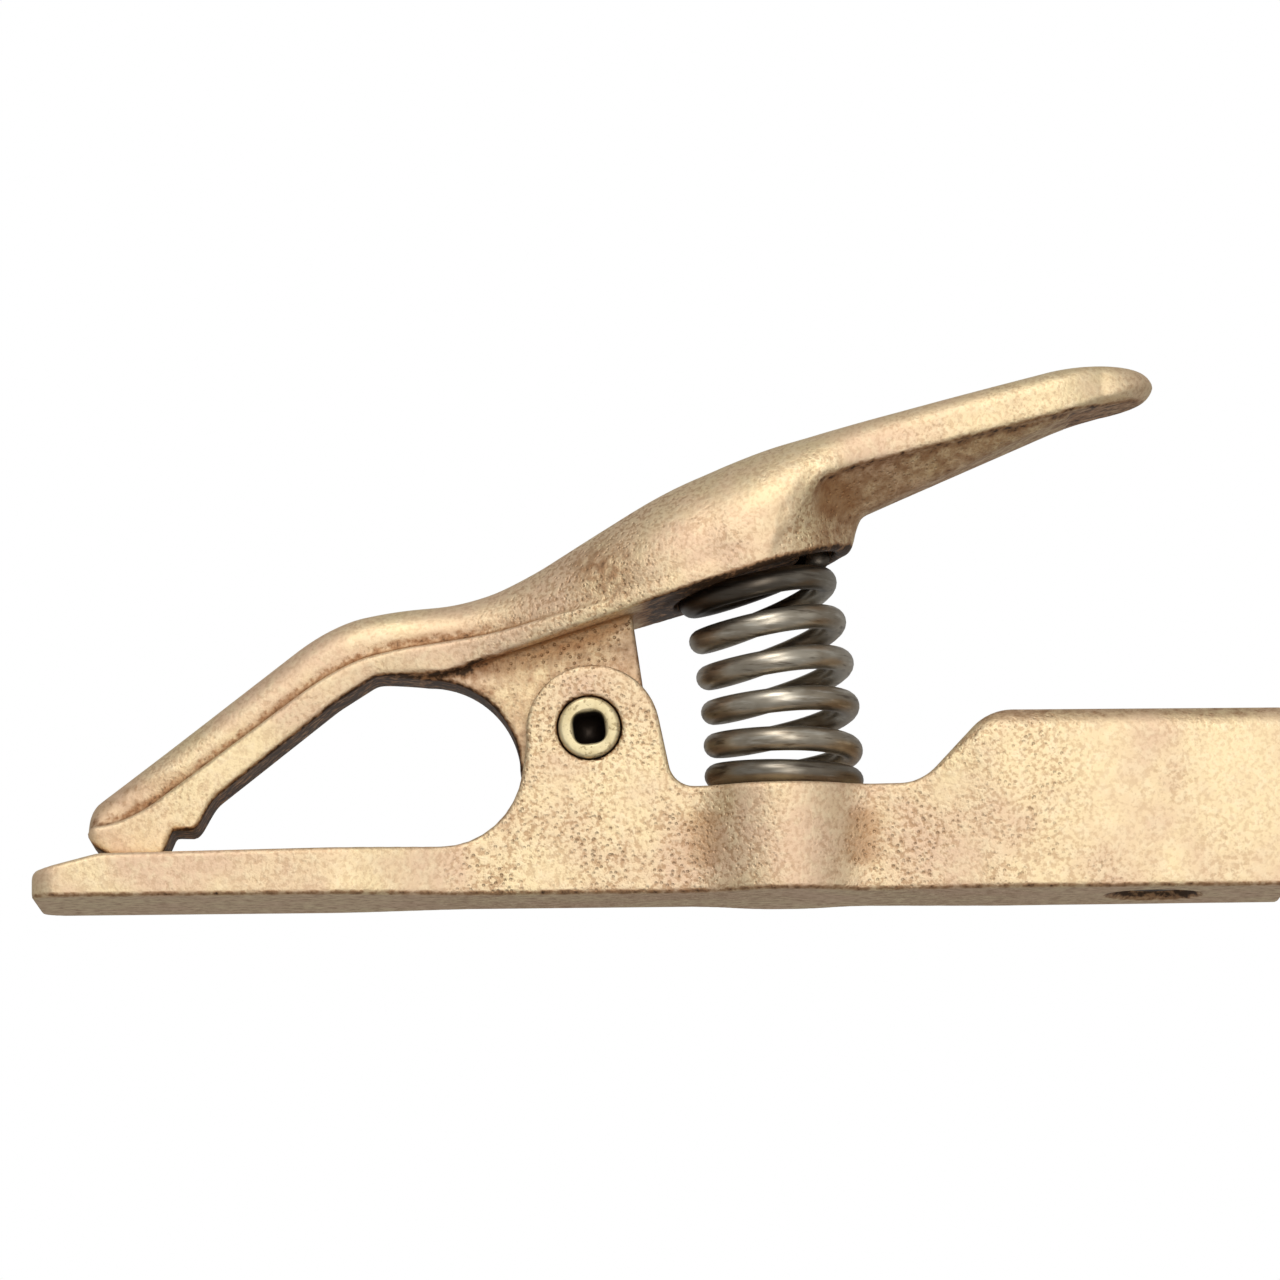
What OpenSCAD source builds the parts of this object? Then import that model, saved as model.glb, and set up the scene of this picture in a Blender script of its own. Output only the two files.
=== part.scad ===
// Spring-loaded ground clamp in cast brass: a flat lower jaw with a cable socket in its tail,
// an upper jaw that is also the thumb lever, a pivot rivet, a compression spring between the
// two castings and a set screw that grips the cable. X runs from the jaw tip to the cable end,
// Y across the clamp, Z up from the face that it lies on.

/* [Lower jaw] */
// Distance from the pivot to the tip of the lower jaw
jaw_reach = 89; // [84:1:110]
// Distance from the pivot to the cable end of the tail
tail_reach = 111; // [100:1:130]
// Thickness of the contact pad
pad_t = 7; // [5:0.5:9]
// Width of the contact pad
pad_w = 29; // [24:1:34]
// Distance from the pivot to the shoulder behind the pad
shoulder_back = 30; // [26:1:36]
// Thickness of the pad at its very tip
tip_t = 4.2; // [3:0.2:6]
// Length of the slope that thins the pad towards its tip
tip_slope = 11; // [6:1:16]
// Radius of the pad's front corners in plan
tip_corner_r = 4.5; // [2:0.5:8]
// How much thicker the pad is where it meets the ears
pad_rise = 0.5; // [0:0.1:1]
// Radius of the hollow in front of the ears
throat_r = 13.5; // [8:0.5:14]

/* [Clevis and pivot] */
// Height of the pivot above the base
pivot_z = 26.7; // [25.6:0.1:30]
// Radius of the ears' round tops
ear_r = 10.7; // [10:0.1:11]
// How far the ears' round sits behind the pivot, and as far below it
ear_shift = 0.6; // [0:0.1:1]
// Lean of the ears' rear edge from the vertical, in degrees
ear_lean = 11.5; // [8:0.5:16]
// Lean of the ears' front edge from the vertical, in degrees
front_lean = 8; // [4:0.5:12]
// Radius of the lug's eye around the pivot
lug_r = 9.4; // [8.4:0.1:9.6]
// Width over both ears
neck_w = 21; // [20:0.5:25]
// Thickness of the lug that swings between the ears
lug_t = 11; // [8:0.5:12]
// Gap on each side of the lug
lug_gap = 0.4; // [0.2:0.1:0.6]
// Radius of the rivet's shank
rivet_r = 4; // [3.6:0.1:4.5]
// Radial clearance of the rivet in the ears
rivet_fit = 0.03; // [0.01:0.01:0.05]
// Radial running clearance of the rivet in the lug
rivet_run = 0.08; // [0.03:0.01:0.1]
// Radius of the rolled ring at the rivet's hollow end
ring_r = 5.2; // [4.8:0.1:5.6]
// Thickness of the rolled ring
ring_t = 1.4; // [1:0.1:2]
// Radius of the hollow in the rivet's end
hollow_r = 2.65; // [1.8:0.05:2.9]
// Depth of the hollow in the rivet's end
hollow_depth = 6.5; // [3:0.5:9]
// Radius of the rivet's domed head
head_r = 6.5; // [5.5:0.1:7.5]
// Height of the rivet's domed head
head_h = 2.6; // [2:0.1:3]

/* [Spring and its seats] */
// Distance from the pivot to the spring's axis, along the base
spring_fwd = 31.1; // [30.5:0.1:36]
// Height of the lower spring seat above the base
seat_z = 17.2; // [16.4:0.1:18]
// Radius of the round boss under the spring
boss_r = 15.75; // [15:0.25:18]
// Mean radius of the spring's coils
coil_r = 10.8; // [10.4:0.1:11.2]
// Diameter of the spring wire
wire_d = 4; // [3.4:0.1:4.2]
// Turns of the spring from end to end
coil_turns = 6; // [5:0.5:6]
// Share of a turn over which each end of the spring levels out
coil_level = 0.7; // [0.6:0.05:0.8]
// How far the leaning spring bows away from the pivot at half height
coil_bow = 1.2; // [0:0.1:1.5]
// Height of the nubs that keep the spring centred
nub_h = 1.6; // [1:0.1:2]
// Gap between a nub and the inside of the spring
nub_gap = 0.8; // [0.5:0.1:1.5]

/* [Cable socket] */
// Height of the tail
tail_h = 28.8; // [26:0.2:32]
// Width of the tail where it leaves the spring boss
tail_w = 27; // [26:0.5:29]
// Width of the tail at the cable end
tail_end_w = 24.6; // [23:0.2:27]
// Distance from the pivot to the foot of the ramp up to the tail
ramp_foot = 52.7; // [51:0.1:58]
// Length of that ramp along the base
ramp_run = 11; // [9:0.5:14]
// Radius of the cable bore
bore_r = 7.5; // [5.5:0.1:8]
// Depth of the cable bore
bore_depth = 42; // [34:1:45]
// Distance from the cable end to the set screw
screw_back = 21; // [15:1:26]
// Radius of the set screw
screw_r = 6; // [4:0.5:6.5]
// Length of the set screw
screw_len = 5.4; // [4:0.1:5.6]
// Radial gap of the set screw in its hole
screw_fit = 0.05; // [0.03:0.01:0.1]
// How deep the set screw sits below the base
screw_sink = 1.2; // [0.6:0.1:1.4]
// Width across the flats of the hex socket in the set screw
hex_af = 6; // [4:0.5:6]
// Depth of that hex socket
hex_depth = 3; // [2:0.1:3.4]
// Width of the countersink around the set screw's hole
sink_rim = 1.8; // [1:0.1:2]

/* [Upper jaw] */
// Distance from the pivot to the nose of the upper jaw
arm_reach = 80.2; // [77:0.2:83]
// Gap left between the closed jaws
jaw_gap = 0.3; // [0.2:0.05:0.5]
// Length of the flat contact tooth at the nose
tooth_len = 12.6; // [10:0.2:14]
// Height of the blunt nose above the tooth
nose_h = 7.8; // [6:0.2:8.2]
// Width of the jaw's flange
arm_w = 15.4; // [14:0.2:20]
// Width of the flange at the bend
bend_w = 14.6; // [13:0.2:17]
// Distance from the pivot forward to the bend
bend_back = 41.5; // [40:0.5:43]
// Height of the bend's top above the pivot
bend_rise = 18; // [17:0.2:19]
// Width of the raised rib along the jaw
rib_w = 9.6; // [8:0.2:11]
// Slope of the spring cap's rim at rest, in degrees
cap_tilt = 17.5; // [16:0.5:19]
// Distance from the pivot to the cap's axis, along its rim
cap_fwd = 33; // [32:0.1:34]
// Height of the cap's rim above the pivot, square to the rim
cap_rise = 15.5; // [15:0.1:16.5]
// Outer radius of the spring cap
cap_r = 16; // [15.6:0.1:17.5]
// Depth of the spring's recess in the cap
recess_depth = 2.6; // [2:0.1:4]
// Radial gap between the spring and its recess
recess_gap = 0.9; // [0.5:0.1:1.2]

/* [Thumb handle] */
// Distance from the pivot to the end of the handle
handle_reach = 91.2; // [86:0.2:100]
// Height of the handle's top above the pivot
handle_rise = 58.6; // [55:0.2:62]
// Height of the spring dome's crest above the pivot
crest_rise = 44.8; // [43:0.2:46]
// Width of the handle behind the dome
handle_w = 24; // [20:0.5:27]
// Width of the handle near its end
handle_end_w = 19; // [15:0.5:22]
// Thickness of the handle's plate
handle_t = 8; // [6:0.2:9]
// Thickness of the stiffening web under the handle
web_t = 5; // [3:0.5:8]
// Depth of that web where it leaves the cap, below the handle's plate
web_depth = 7; // [4:0.2:9]

/* [Hidden] */
$fn = 64;
eps = 0.01;
BRASS = [0.80, 0.66, 0.42];
STEEL = [0.45, 0.43, 0.40];

// Places that follow from the sizes
pivot_x = (jaw_reach - tail_reach) / 2;
tip_x = pivot_x - jaw_reach;
tail_x = pivot_x + tail_reach;
shoulder_x = pivot_x - shoulder_back;
boss_x = pivot_x + spring_fwd;
ramp_x = pivot_x + ramp_foot;
screw_x = tail_x - screw_back;
bore_z = tail_h / 2;
slot_w = lug_t + 2 * lug_gap;
slot_gap = 0.8;
slot_floor = pivot_z - lug_r - slot_gap;
tooth_z = pad_t + jaw_gap - pivot_z;
wire_r = wire_d / 2;
wire_flat = wire_r * cos(30);
nub_r = coil_r - wire_r - nub_gap;
recess_r = coil_r + wire_r + recess_gap;
// The cap's axis meets its rim here, in the lever's frame about the pivot
rim_mid = cap_fwd * [cos(cap_tilt), sin(cap_tilt)] + cap_rise * [-sin(cap_tilt), cos(cap_tilt)];

// ---- Outlines ----
function unit(v) = v / norm(v);

// Points along an arc about c, from angle a0 to a1
function arc(c, r, a0, a1, steps) =
    [for (i = [0:steps]) let (a = a0 + (a1 - a0) * i / steps) c + r * [cos(a), sin(a)]];

// One corner b = [x, y, radius] between its neighbours a and c, rounded as far as they allow
function corner(a, b, c, steps) =
    let (
        p = [b[0], b[1]],
        u = unit([a[0], a[1]] - p),
        v = unit([c[0], c[1]] - p),
        half = acos(u * v) / 2,
        reach = 0.49 * min(norm([a[0], a[1]] - p), norm([c[0], c[1]] - p)),
        t = min(b[2] / tan(half), reach),
        r = t * tan(half),
        centre = p + unit(u + v) * r / sin(half),
        from = p + u * t - centre,
        a0 = atan2(from[1], from[0]),
        turn = (180 - 2 * half) * sign(u[0] * v[1] - u[1] * v[0])
    )
    arc(centre, r, a0, a0 - turn, steps);

// A closed outline whose points carry the radius of their corner; 0 leaves it sharp
function rounded(points, steps = 7) =
    let (n = len(points))
    [for (i = [0:n - 1])
        each points[i][2] == 0
            ? [[points[i][0], points[i][1]]]
            : corner(points[(i + n - 1) % n], points[i], points[(i + 1) % n], steps)];

function sharp(points) = [for (p = points) [p[0], p[1], 0]];

// Extrudes an XZ outline across Y, centred
module across(width) {
    rotate([90, 0, 0])
        linear_extrude(width, center = true)
            children();
}

// ---- Lower jaw ----
// Side outline: pad, throat, ears, spring seat, ramp and tail
ear_mid = [pivot_x + ear_shift, pivot_z - ear_shift];
ear_foot = ear_mid + ear_r * [cos(ear_lean), sin(ear_lean)];
flank_x = ear_foot[0] + (ear_foot[1] - seat_z) * tan(ear_lean);
front_foot = ear_mid - ear_r * [cos(front_lean), sin(front_lean)];
neck_z = pad_t + pad_rise;
lower_side = rounded([
    [tip_x, 0, 2],
    [tail_x, 0, 1],
    [tail_x, tail_h, 2],
    [ramp_x + ramp_run, tail_h, 9],
    [ramp_x, seat_z, 8],
    [flank_x, seat_z, 4],
    each sharp(arc(ear_mid, ear_r, ear_lean, 180 + front_lean, 20)),
    [front_foot[0] - (front_foot[1] - neck_z) * tan(front_lean), neck_z, throat_r],
    [tip_x + tip_slope, pad_t, 8],
    [tip_x, tip_t, 1.5]
]);

// Arc between a straight flank at half width y and the boss, on the tail's side of the boss (1)
// or on the neck's (-1). It bites a little into the boss, so that the two outlines cross.
blend_bite = 0.05;
function boss_blend(y, r, side) =
    let (
        cx = side * sqrt(pow(boss_r + r - blend_bite, 2) - pow(y + r, 2)),
        mid = [boss_x + cx, y + r],
        meet = atan2(-(y + r), -cx)
    )
    side > 0 ? arc(mid, r, -90, meet, 6) : arc(mid, r, meet, -90, 6);

neck_blend_r = 6;
tail_blend_r = 9;
lower_half_plan = [
    [tail_x, 0, 0],
    [tail_x, tail_end_w / 2, 2],
    each sharp(boss_blend(tail_w / 2, tail_blend_r, 1)),
    [boss_x, boss_r / 2, 0],
    each sharp(boss_blend(neck_w / 2, neck_blend_r, -1)),
    [shoulder_x + 5, neck_w / 2, 6],
    [shoulder_x - 3, pad_w / 2, 6],
    [tip_x, pad_w / 2, tip_corner_r],
    [tip_x, 0, 0]
];

module lower_plan() {
    for (side = [0, 1])
        mirror([0, side])
            polygon(rounded(lower_half_plan));
    translate([boss_x, 0])
        circle(boss_r);
}

// Slot between the ears, with a round end that clears the lug
module clevis_slot() {
    translate([pivot_x - ear_r - 5, -slot_w / 2, slot_floor])
        cube([ear_r + 5, slot_w, pivot_z]);
    translate([pivot_x, 0, pivot_z])
        rotate([90, 0, 0])
            cylinder(h = slot_w, r = lug_r + slot_gap, center = true);
    translate([pivot_x - eps, -slot_w / 2, pivot_z])
        cube([2 * ear_r, slot_w, pivot_z]);
}

// Stepped hole for the rivet: shank all the way, rolled ring sunk in the near ear
module rivet_hole() {
    translate([pivot_x, 0, pivot_z])
        rotate([90, 0, 0]) {
            cylinder(h = neck_w + 2, r = rivet_r + rivet_fit, center = true);
            translate([0, 0, neck_w / 2 - ring_t])
                cylinder(h = ring_t + 1, r = ring_r + rivet_fit);
        }
}

// Cable bore from the tail's end, with a drill-point bottom, and the set screw's hole
module cable_holes() {
    translate([tail_x - bore_depth, 0, bore_z])
        rotate([0, 90, 0])
            cylinder(h = bore_depth + 1, r = bore_r);
    translate([tail_x - bore_depth - bore_r / 2, 0, bore_z])
        rotate([0, 90, 0])
            cylinder(h = bore_r / 2, r1 = 0.5, r2 = bore_r);
    translate([screw_x, 0, -1])
        cylinder(h = bore_z + 1, r = screw_r + screw_fit);
    translate([screw_x, 0, -1])
        cylinder(h = sink_rim + 1, r1 = screw_r + sink_rim + 1, r2 = screw_r);
}

module lower_jaw() {
    color(BRASS)
        difference() {
            union() {
                intersection() {
                    across(pad_w + 2 * boss_r)
                        polygon(lower_side);
                    linear_extrude(pivot_z + 2 * ear_r)
                        lower_plan();
                }
                translate([boss_x, 0, seat_z - 1])
                    cylinder(h = nub_h + 1, r = nub_r);
            }
            clevis_slot();
            rivet_hole();
            cable_holes();
        }
}

// ---- Upper jaw ----
// All of the lever is worked out about the pivot. Each line below gives a height or half width
// along X, as straight stretches that soft() rounds into one curve.
nose_x = -arm_reach;
function soft(x, line, reach) =
    let (n = 3, parts = [for (i = [-n:n]) lookup(x + reach * i / n, line)])
    (parts * [for (p = parts) 1]) / len(parts);

// Height of the rim's plane
function rim_at(x) = rim_mid[1] + (x - rim_mid[0]) * tan(cap_tilt);

crest_x = rim_mid[0];
waist_x = -19;
waist_z = bend_rise + 3.4;
top_line = [
    [nose_x - 4, tooth_z + nose_h - 3.2],
    [nose_x + 2, tooth_z + nose_h + 1.4],
    [-bend_back, bend_rise],
    [-bend_back + 9, bend_rise + 2.2],
    [waist_x, waist_z],
    [waist_x + 8, waist_z + 3.3],
    [crest_x - 15, crest_rise - 6.2],
    [crest_x, crest_rise],
    [handle_reach - 12, handle_rise],
    [handle_reach + 4, handle_rise - 1]
];
edge_line = [
    [nose_x, tooth_z + 5],
    [nose_x + 6, tooth_z + 5],
    [-bend_back + 1, bend_rise - 7.5],
    [-bend_back + 8, bend_rise - 5],
    [waist_x + 5, bend_rise - 2.2],
    [crest_x - 15, crest_rise - 17],
    [crest_x, crest_rise - 8],
    [crest_x + 15, crest_rise + 0.5],
    [handle_reach, handle_rise - 3]
];
rim_step = 0.4;
arm_low = bend_rise - 8.9;
under_line = [
    [nose_x, tooth_z],
    [nose_x + tooth_len, tooth_z],
    [nose_x + tooth_len + 1.6, tooth_z + 3.6],
    [-bend_back + 1.2, bend_rise - 12.9],
    [-bend_back + 7.5, arm_low],
    [waist_x - 4, rim_at(waist_x - 4) + rim_step],
    [crest_x + 7, rim_at(crest_x + 7) + rim_step],
    [crest_x + 16, crest_rise + 5 - handle_t],
    [handle_reach - 12, handle_rise - handle_t],
    [handle_reach + 4, handle_rise - handle_t + 4]
];
width_line = [
    [nose_x, arm_w / 2],
    [-bend_back - 9, arm_w / 2],
    [-bend_back + 4, bend_w / 2],
    [waist_x, bend_w / 2 + 0.5],
    [waist_x + 18, cap_r - 3.5],
    [crest_x - 10, cap_r - 0.6],
    [crest_x + 2, cap_r - 0.6],
    [crest_x + 11, handle_w / 2 + 0.4],
    [handle_reach - 14, handle_end_w / 2],
    [handle_reach, handle_end_w / 2 - 1]
];
rib_line = [
    [waist_x - 4, rib_w / 2],
    [waist_x + 16, rib_w / 2 + 5],
    [crest_x - 12, cap_r - 2.4],
    [crest_x + 2, cap_r - 2.4],
    [crest_x + 11, handle_w / 2 - 1.8],
    [handle_reach - 14, handle_end_w / 2 - 1.8]
];

// How much narrower the underside is than the flange above it, on each side
draft_line = [
    [-bend_back, 0.6],
    [waist_x + 18, 0.2],
    [crest_x + 8, 0.2],
    [crest_x + 18, 1]
];

// How far a rounded end of radius r is drawn in, at a distance d from it
function inset(d, r) = d >= r ? 0 : r - sqrt(max(0, r * r - pow(r - d, 2)));

// One section of the lever at x: half outline from the middle of the underside to the top
edge_c = 1.2;
crown_steps = 5;
nose_r = 2;
tip_plan_r = 10;
tip_side_r = 3.4;
function half_section(x) =
    let (
        nose_in = inset(x - nose_x, nose_r),
        tip_d = handle_reach - x,
        tip_in = inset(tip_d, tip_side_r),
        full = soft(x, width_line, 5),
        w = full * (1 - inset(tip_d, tip_plan_r) / tip_plan_r) - nose_in,
        c = min(edge_c, w / 3),
        base = max(w - soft(x, draft_line, 5), w / 2),
        top = soft(x, top_line, 5) - nose_in - tip_in,
        under = soft(x, under_line, 1.5) + nose_in + tip_in,
        edge = min(max(soft(x, edge_line, 5), under + 2.5 * c), top - 0.8),
        rib = min(soft(x, rib_line, 5), w - c - 0.3)
    )
    [
        [0, under],
        [base - c, under],
        [base, under + c],
        [w, edge - c],
        [w - c, edge],
        for (k = [0:crown_steps]) let (a = 90 * k / crown_steps)
            [rib * pow(cos(a), 0.8), edge + 0.05 + (top - edge - 0.05) * pow(sin(a), 0.85)]
    ];

function ring_at(x) =
    let (half = half_section(x), n = len(half))
    [
        for (p = half) [x, p[0], p[1]],
        for (i = [n - 2:-1:1]) [x, -half[i][0], half[i][1]]
    ];

body_step = 3;
body_from = nose_x + nose_r;
body_to = handle_reach - tip_plan_r;
body_steps = ceil((body_to - body_from) / body_step);
stations = [
    for (a = [0:30:60]) nose_x + nose_r * (1 - cos(a)),
    for (i = [0:body_steps]) body_from + (body_to - body_from) * i / body_steps,
    for (a = [75:-15:15]) handle_reach - tip_plan_r * (1 - cos(a))
];

// Joins equal rings of points into one closed skin of triangles
module skin(rings) {
    n = len(rings[0]);
    last = (len(rings) - 1) * n;
    points = [for (ring = rings) each ring];
    sides = [
        for (s = [0:len(rings) - 2], i = [0:n - 1])
            let (a = s * n + i, b = s * n + (i + 1) % n)
            each [[a, a + n, b], [b, a + n, b + n]]
    ];
    front = [for (i = [1:n - 2]) [0, i, i + 1]];
    back = [for (i = [1:n - 2]) [last, last + i + 1, last + i]];
    polyhedron(points, concat(sides, front, back));
}

// Round skirt that holds the spring's upper end, square to the sloping rim
module spring_cap() {
    translate([rim_mid[0], 0, rim_mid[1]])
        rotate([0, -cap_tilt, 0]) {
            cylinder(h = 8, r = cap_r);
            translate([0, 0, 8])
                cylinder(h = 7, r1 = cap_r, r2 = cap_r - 6);
        }
}

module spring_recess() {
    translate([rim_mid[0], 0, rim_mid[1]])
        rotate([0, -cap_tilt, 0])
            difference() {
                translate([0, 0, -4])
                    cylinder(h = recess_depth + 4, r = recess_r);
                translate([0, 0, recess_depth - nub_h])
                    cylinder(h = nub_h + 1, r = nub_r);
            }
}

// Lug between the ears: a round eye about the pivot that widens up into the lever
lug_top = rim_at(0) + 3;
lug_throat_r = throat_r + 1.1;
throat_x = ear_shift - ear_r - lug_throat_r - 1;
throat_mid = [throat_x, arm_low - 0.6 - lug_throat_r];
module lug() {
    across(lug_t)
        difference() {
            union() {
                circle(lug_r);
                polygon([
                    [throat_x + lug_throat_r + 0.4, -lug_r * 0.7],
                    [0, -lug_r],
                    [lug_r, 1.5],
                    [lug_r - 2.6, lug_top + 1],
                    [throat_x - 4, arm_low + 2],
                    [throat_x - 4, arm_low + 0.2],
                    [throat_x, throat_mid[1] + lug_throat_r - eps],
                    [throat_x, 0]
                ]);
            }
            translate(throat_mid)
                circle(lug_throat_r);
            circle(rivet_r + rivet_run);
        }
}

// Thin web that stiffens the handle from below
module handle_web() {
    start = [rim_mid[0] + cap_r * cos(cap_tilt) - 3, rim_at(rim_mid[0] + cap_r) + 1];
    across(web_t)
        polygon(rounded([
            [start[0], start[1], 0],
            [start[0] + 3, start[1] + 0.8, 1],
            [crest_x + 17.5, crest_rise - 2 - web_depth, 3],
            [handle_reach - 14, handle_rise - handle_t - 0.6, 0],
            [handle_reach - 14, handle_rise - handle_t + 2, 0],
            [crest_x + 14, crest_rise - 1, 0],
            [start[0], start[1] + 9, 0]
        ]));
}

// Small round relief behind the contact tooth
relief_r = 1.7;
module tooth_relief() {
    translate([nose_x + tooth_len + 1.2, 0, tooth_z + 0.9])
        rotate([90, 0, 0])
            cylinder(h = 2 * arm_w, r = relief_r, center = true);
}

module upper_jaw() {
    color(BRASS)
        translate([pivot_x, 0, pivot_z])
            difference() {
                union() {
                    skin([for (x = stations) ring_at(x)]);
                    spring_cap();
                    lug();
                    handle_web();
                }
                spring_recess();
                tooth_relief();
            }
}

// ---- Pivot rivet ----
// Turned profile along the rivet: domed head behind the far ear, hollow rolled end in the near one
module pivot_rivet() {
    half = neck_w / 2;
    dome_r = (head_r * head_r + head_h * head_h) / (2 * head_h);
    dome_a = asin(head_r / dome_r);
    color(BRASS)
        translate([pivot_x, 0, pivot_z])
            rotate([90, 0, 0])
                rotate_extrude()
                    polygon([
                        each [for (i = [0:8]) let (a = dome_a * i / 8)
                            [dome_r * sin(a), -half - head_h + dome_r * (1 - cos(a))]],
                        [rivet_r, -half],
                        [rivet_r, half - ring_t],
                        [ring_r, half - ring_t],
                        [ring_r, half - 0.3],
                        [ring_r - 0.3, half],
                        [hollow_r + 0.4, half],
                        [hollow_r, half - 0.4],
                        [hollow_r, half - hollow_depth],
                        [0, half - hollow_depth - hollow_r / 2]
                    ]);
}

// ---- Compression spring ----
// One left-handed tube. Its coils fan out from the level seat to the sloping cap.
seat_touch = 0.05;
cap_touch = 0.3;
wire_sides = 6;
rings_per_turn = 8;
coil_foot = [boss_x, seat_z + wire_flat + seat_touch];
coil_head = [pivot_x, pivot_z] + rim_mid
    + (recess_depth - wire_flat - cap_touch) * [-sin(cap_tilt), cos(cap_tilt)];

// Share of the climb that is done after n turns, level at both ends
function climb(n) =
    (n < coil_level ? n * n / (2 * coil_level)
        : n < coil_turns - coil_level ? n - coil_level / 2
        : coil_turns - coil_level - pow(coil_turns - n, 2) / (2 * coil_level))
    / (coil_turns - coil_level);

function coil_ring(n) =
    let (
        share = climb(n),
        mid = coil_foot + (coil_head - coil_foot) * share + [4 * coil_bow * share * (1 - share), 0],
        tilt = cap_tilt * (1 - pow(1 - share, 2)),
        out = [cos(-360 * n) * cos(tilt), sin(-360 * n), cos(-360 * n) * sin(tilt)],
        up = [-sin(tilt), 0, cos(tilt)]
    )
    [for (k = [0:wire_sides - 1]) let (a = 360 * k / wire_sides)
        [mid[0], 0, mid[1]] + out * (coil_r + wire_r * cos(a)) + up * wire_r * sin(a)];

coil_rings = [for (i = [0:coil_turns * rings_per_turn]) coil_ring(i / rings_per_turn)];

// Least gap of the wire to itself, between points at least three quarters of a turn apart
coil_gap = min([for (i = [0:len(coil_rings) - 1], j = [i + 6:1:len(coil_rings) - 1])
    min([for (p = coil_rings[i], q = coil_rings[j]) norm(p - q)])]);

module compression_spring() {
    echo(least_gap_of_spring_to_itself = coil_gap);
    color(STEEL)
        skin(coil_rings);
}

// ---- Cable set screw ----
chamfer = 0.8;
module cable_set_screw() {
    color(STEEL)
        translate([screw_x, 0, screw_sink])
            difference() {
                union() {
                    cylinder(h = chamfer, r1 = screw_r - chamfer, r2 = screw_r);
                    translate([0, 0, chamfer])
                        cylinder(h = screw_len - 2 * chamfer, r = screw_r);
                    translate([0, 0, screw_len - chamfer])
                        cylinder(h = chamfer, r1 = screw_r, r2 = screw_r - chamfer);
                }
                translate([0, 0, -1])
                    cylinder(h = hex_depth + 1, r = hex_af / 2 / cos(30), $fn = 6);
            }
}

lower_jaw();
upper_jaw();
pivot_rivet();
compression_spring();
cable_set_screw();
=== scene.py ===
# %% [markdown]
# # A cast brass ground clamp
#
# A welding ground clamp bites on the work and carries the current back through its cable. It is
# two brass castings, a hollow rivet that they turn on, a steel spring and a set screw that holds
# the cable. This lesson dresses the construction model with the skin of the real thing: soft
# casting fillets, blasted brass with its sand grain, drawn spring wire and a rolled rivet.
#
# All lengths below are in millimetres until a mesh is made, because that is how such a casting
# is drawn. X runs from the jaw tip to the cable end, Y across, Z up from the base.

# %% Load the frame
import time

import bmesh
import bpy
import numpy as np
from mathutils import Matrix, Vector


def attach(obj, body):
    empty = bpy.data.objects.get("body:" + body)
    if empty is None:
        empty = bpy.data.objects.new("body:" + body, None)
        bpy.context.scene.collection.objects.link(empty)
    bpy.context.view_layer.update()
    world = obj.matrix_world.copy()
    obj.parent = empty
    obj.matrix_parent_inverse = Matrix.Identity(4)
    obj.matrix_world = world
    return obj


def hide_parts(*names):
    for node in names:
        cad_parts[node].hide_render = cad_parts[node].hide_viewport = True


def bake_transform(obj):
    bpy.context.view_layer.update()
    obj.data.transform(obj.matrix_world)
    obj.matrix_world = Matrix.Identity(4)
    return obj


started = time.time()
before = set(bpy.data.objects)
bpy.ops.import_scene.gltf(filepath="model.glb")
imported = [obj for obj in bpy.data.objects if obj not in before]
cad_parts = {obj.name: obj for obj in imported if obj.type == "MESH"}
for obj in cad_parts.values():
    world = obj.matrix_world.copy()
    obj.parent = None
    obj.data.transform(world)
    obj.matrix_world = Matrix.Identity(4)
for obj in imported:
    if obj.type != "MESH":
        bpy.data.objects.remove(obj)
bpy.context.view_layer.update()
MM = 0.001

# %% [markdown]
# ## The view
#
# A catalogue picture of a small tool is taken with a long lens from a little over a metre, so
# that its sides stay parallel. Here the lens looks up at the clamp from 8 degrees below, and
# its base shows as a thin dark strip. The camera is set by its place and its own three axes,
# which leaves nothing to chance, and a roll of 0.6 degrees tips the base line slightly.

# %% Camera
VIEW_RISE = np.radians(8.0)
VIEW_ROLL = np.radians(0.6)
VIEW_AWAY = 1305.5
VIEW_AT = np.array([-2.76, 0.0, 42.1])
PIXELS_PER_RADIAN = 8125.0
FRAME_PIXELS = 1280

forward = np.array([0.0, np.cos(VIEW_RISE), np.sin(VIEW_RISE)])
level_up = np.array([0.0, -np.sin(VIEW_RISE), np.cos(VIEW_RISE)])
level_right = np.array([1.0, 0.0, 0.0])
right = np.cos(VIEW_ROLL) * level_right - np.sin(VIEW_ROLL) * level_up
up = np.sin(VIEW_ROLL) * level_right + np.cos(VIEW_ROLL) * level_up

camera_data = bpy.data.cameras.new("catalogue_camera")
camera_data.sensor_width = 36.0
camera_data.lens = 36.0 * PIXELS_PER_RADIAN / FRAME_PIXELS
camera_data.clip_start = 0.05
camera_data.clip_end = 20.0
camera = bpy.data.objects.new("catalogue_camera", camera_data)
bpy.context.scene.collection.objects.link(camera)
place = Matrix(np.column_stack([right, up, -forward]).tolist()).to_4x4()
place.translation = Vector(((VIEW_AT - VIEW_AWAY * forward) * MM).tolist())
camera.matrix_world = place
bpy.context.scene.camera = camera
print("lens in mm", round(camera_data.lens, 1))

# %% [markdown]
# ## Drawing outlines
#
# A pattern maker draws straight edges and rounds every corner, since sand holds no sharp edge.
# The helper below does the same: it takes corner points with a radius and returns the points of
# the outline, each corner replaced by an arc that touches both of its sides.

# %% Rounded outlines


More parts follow.
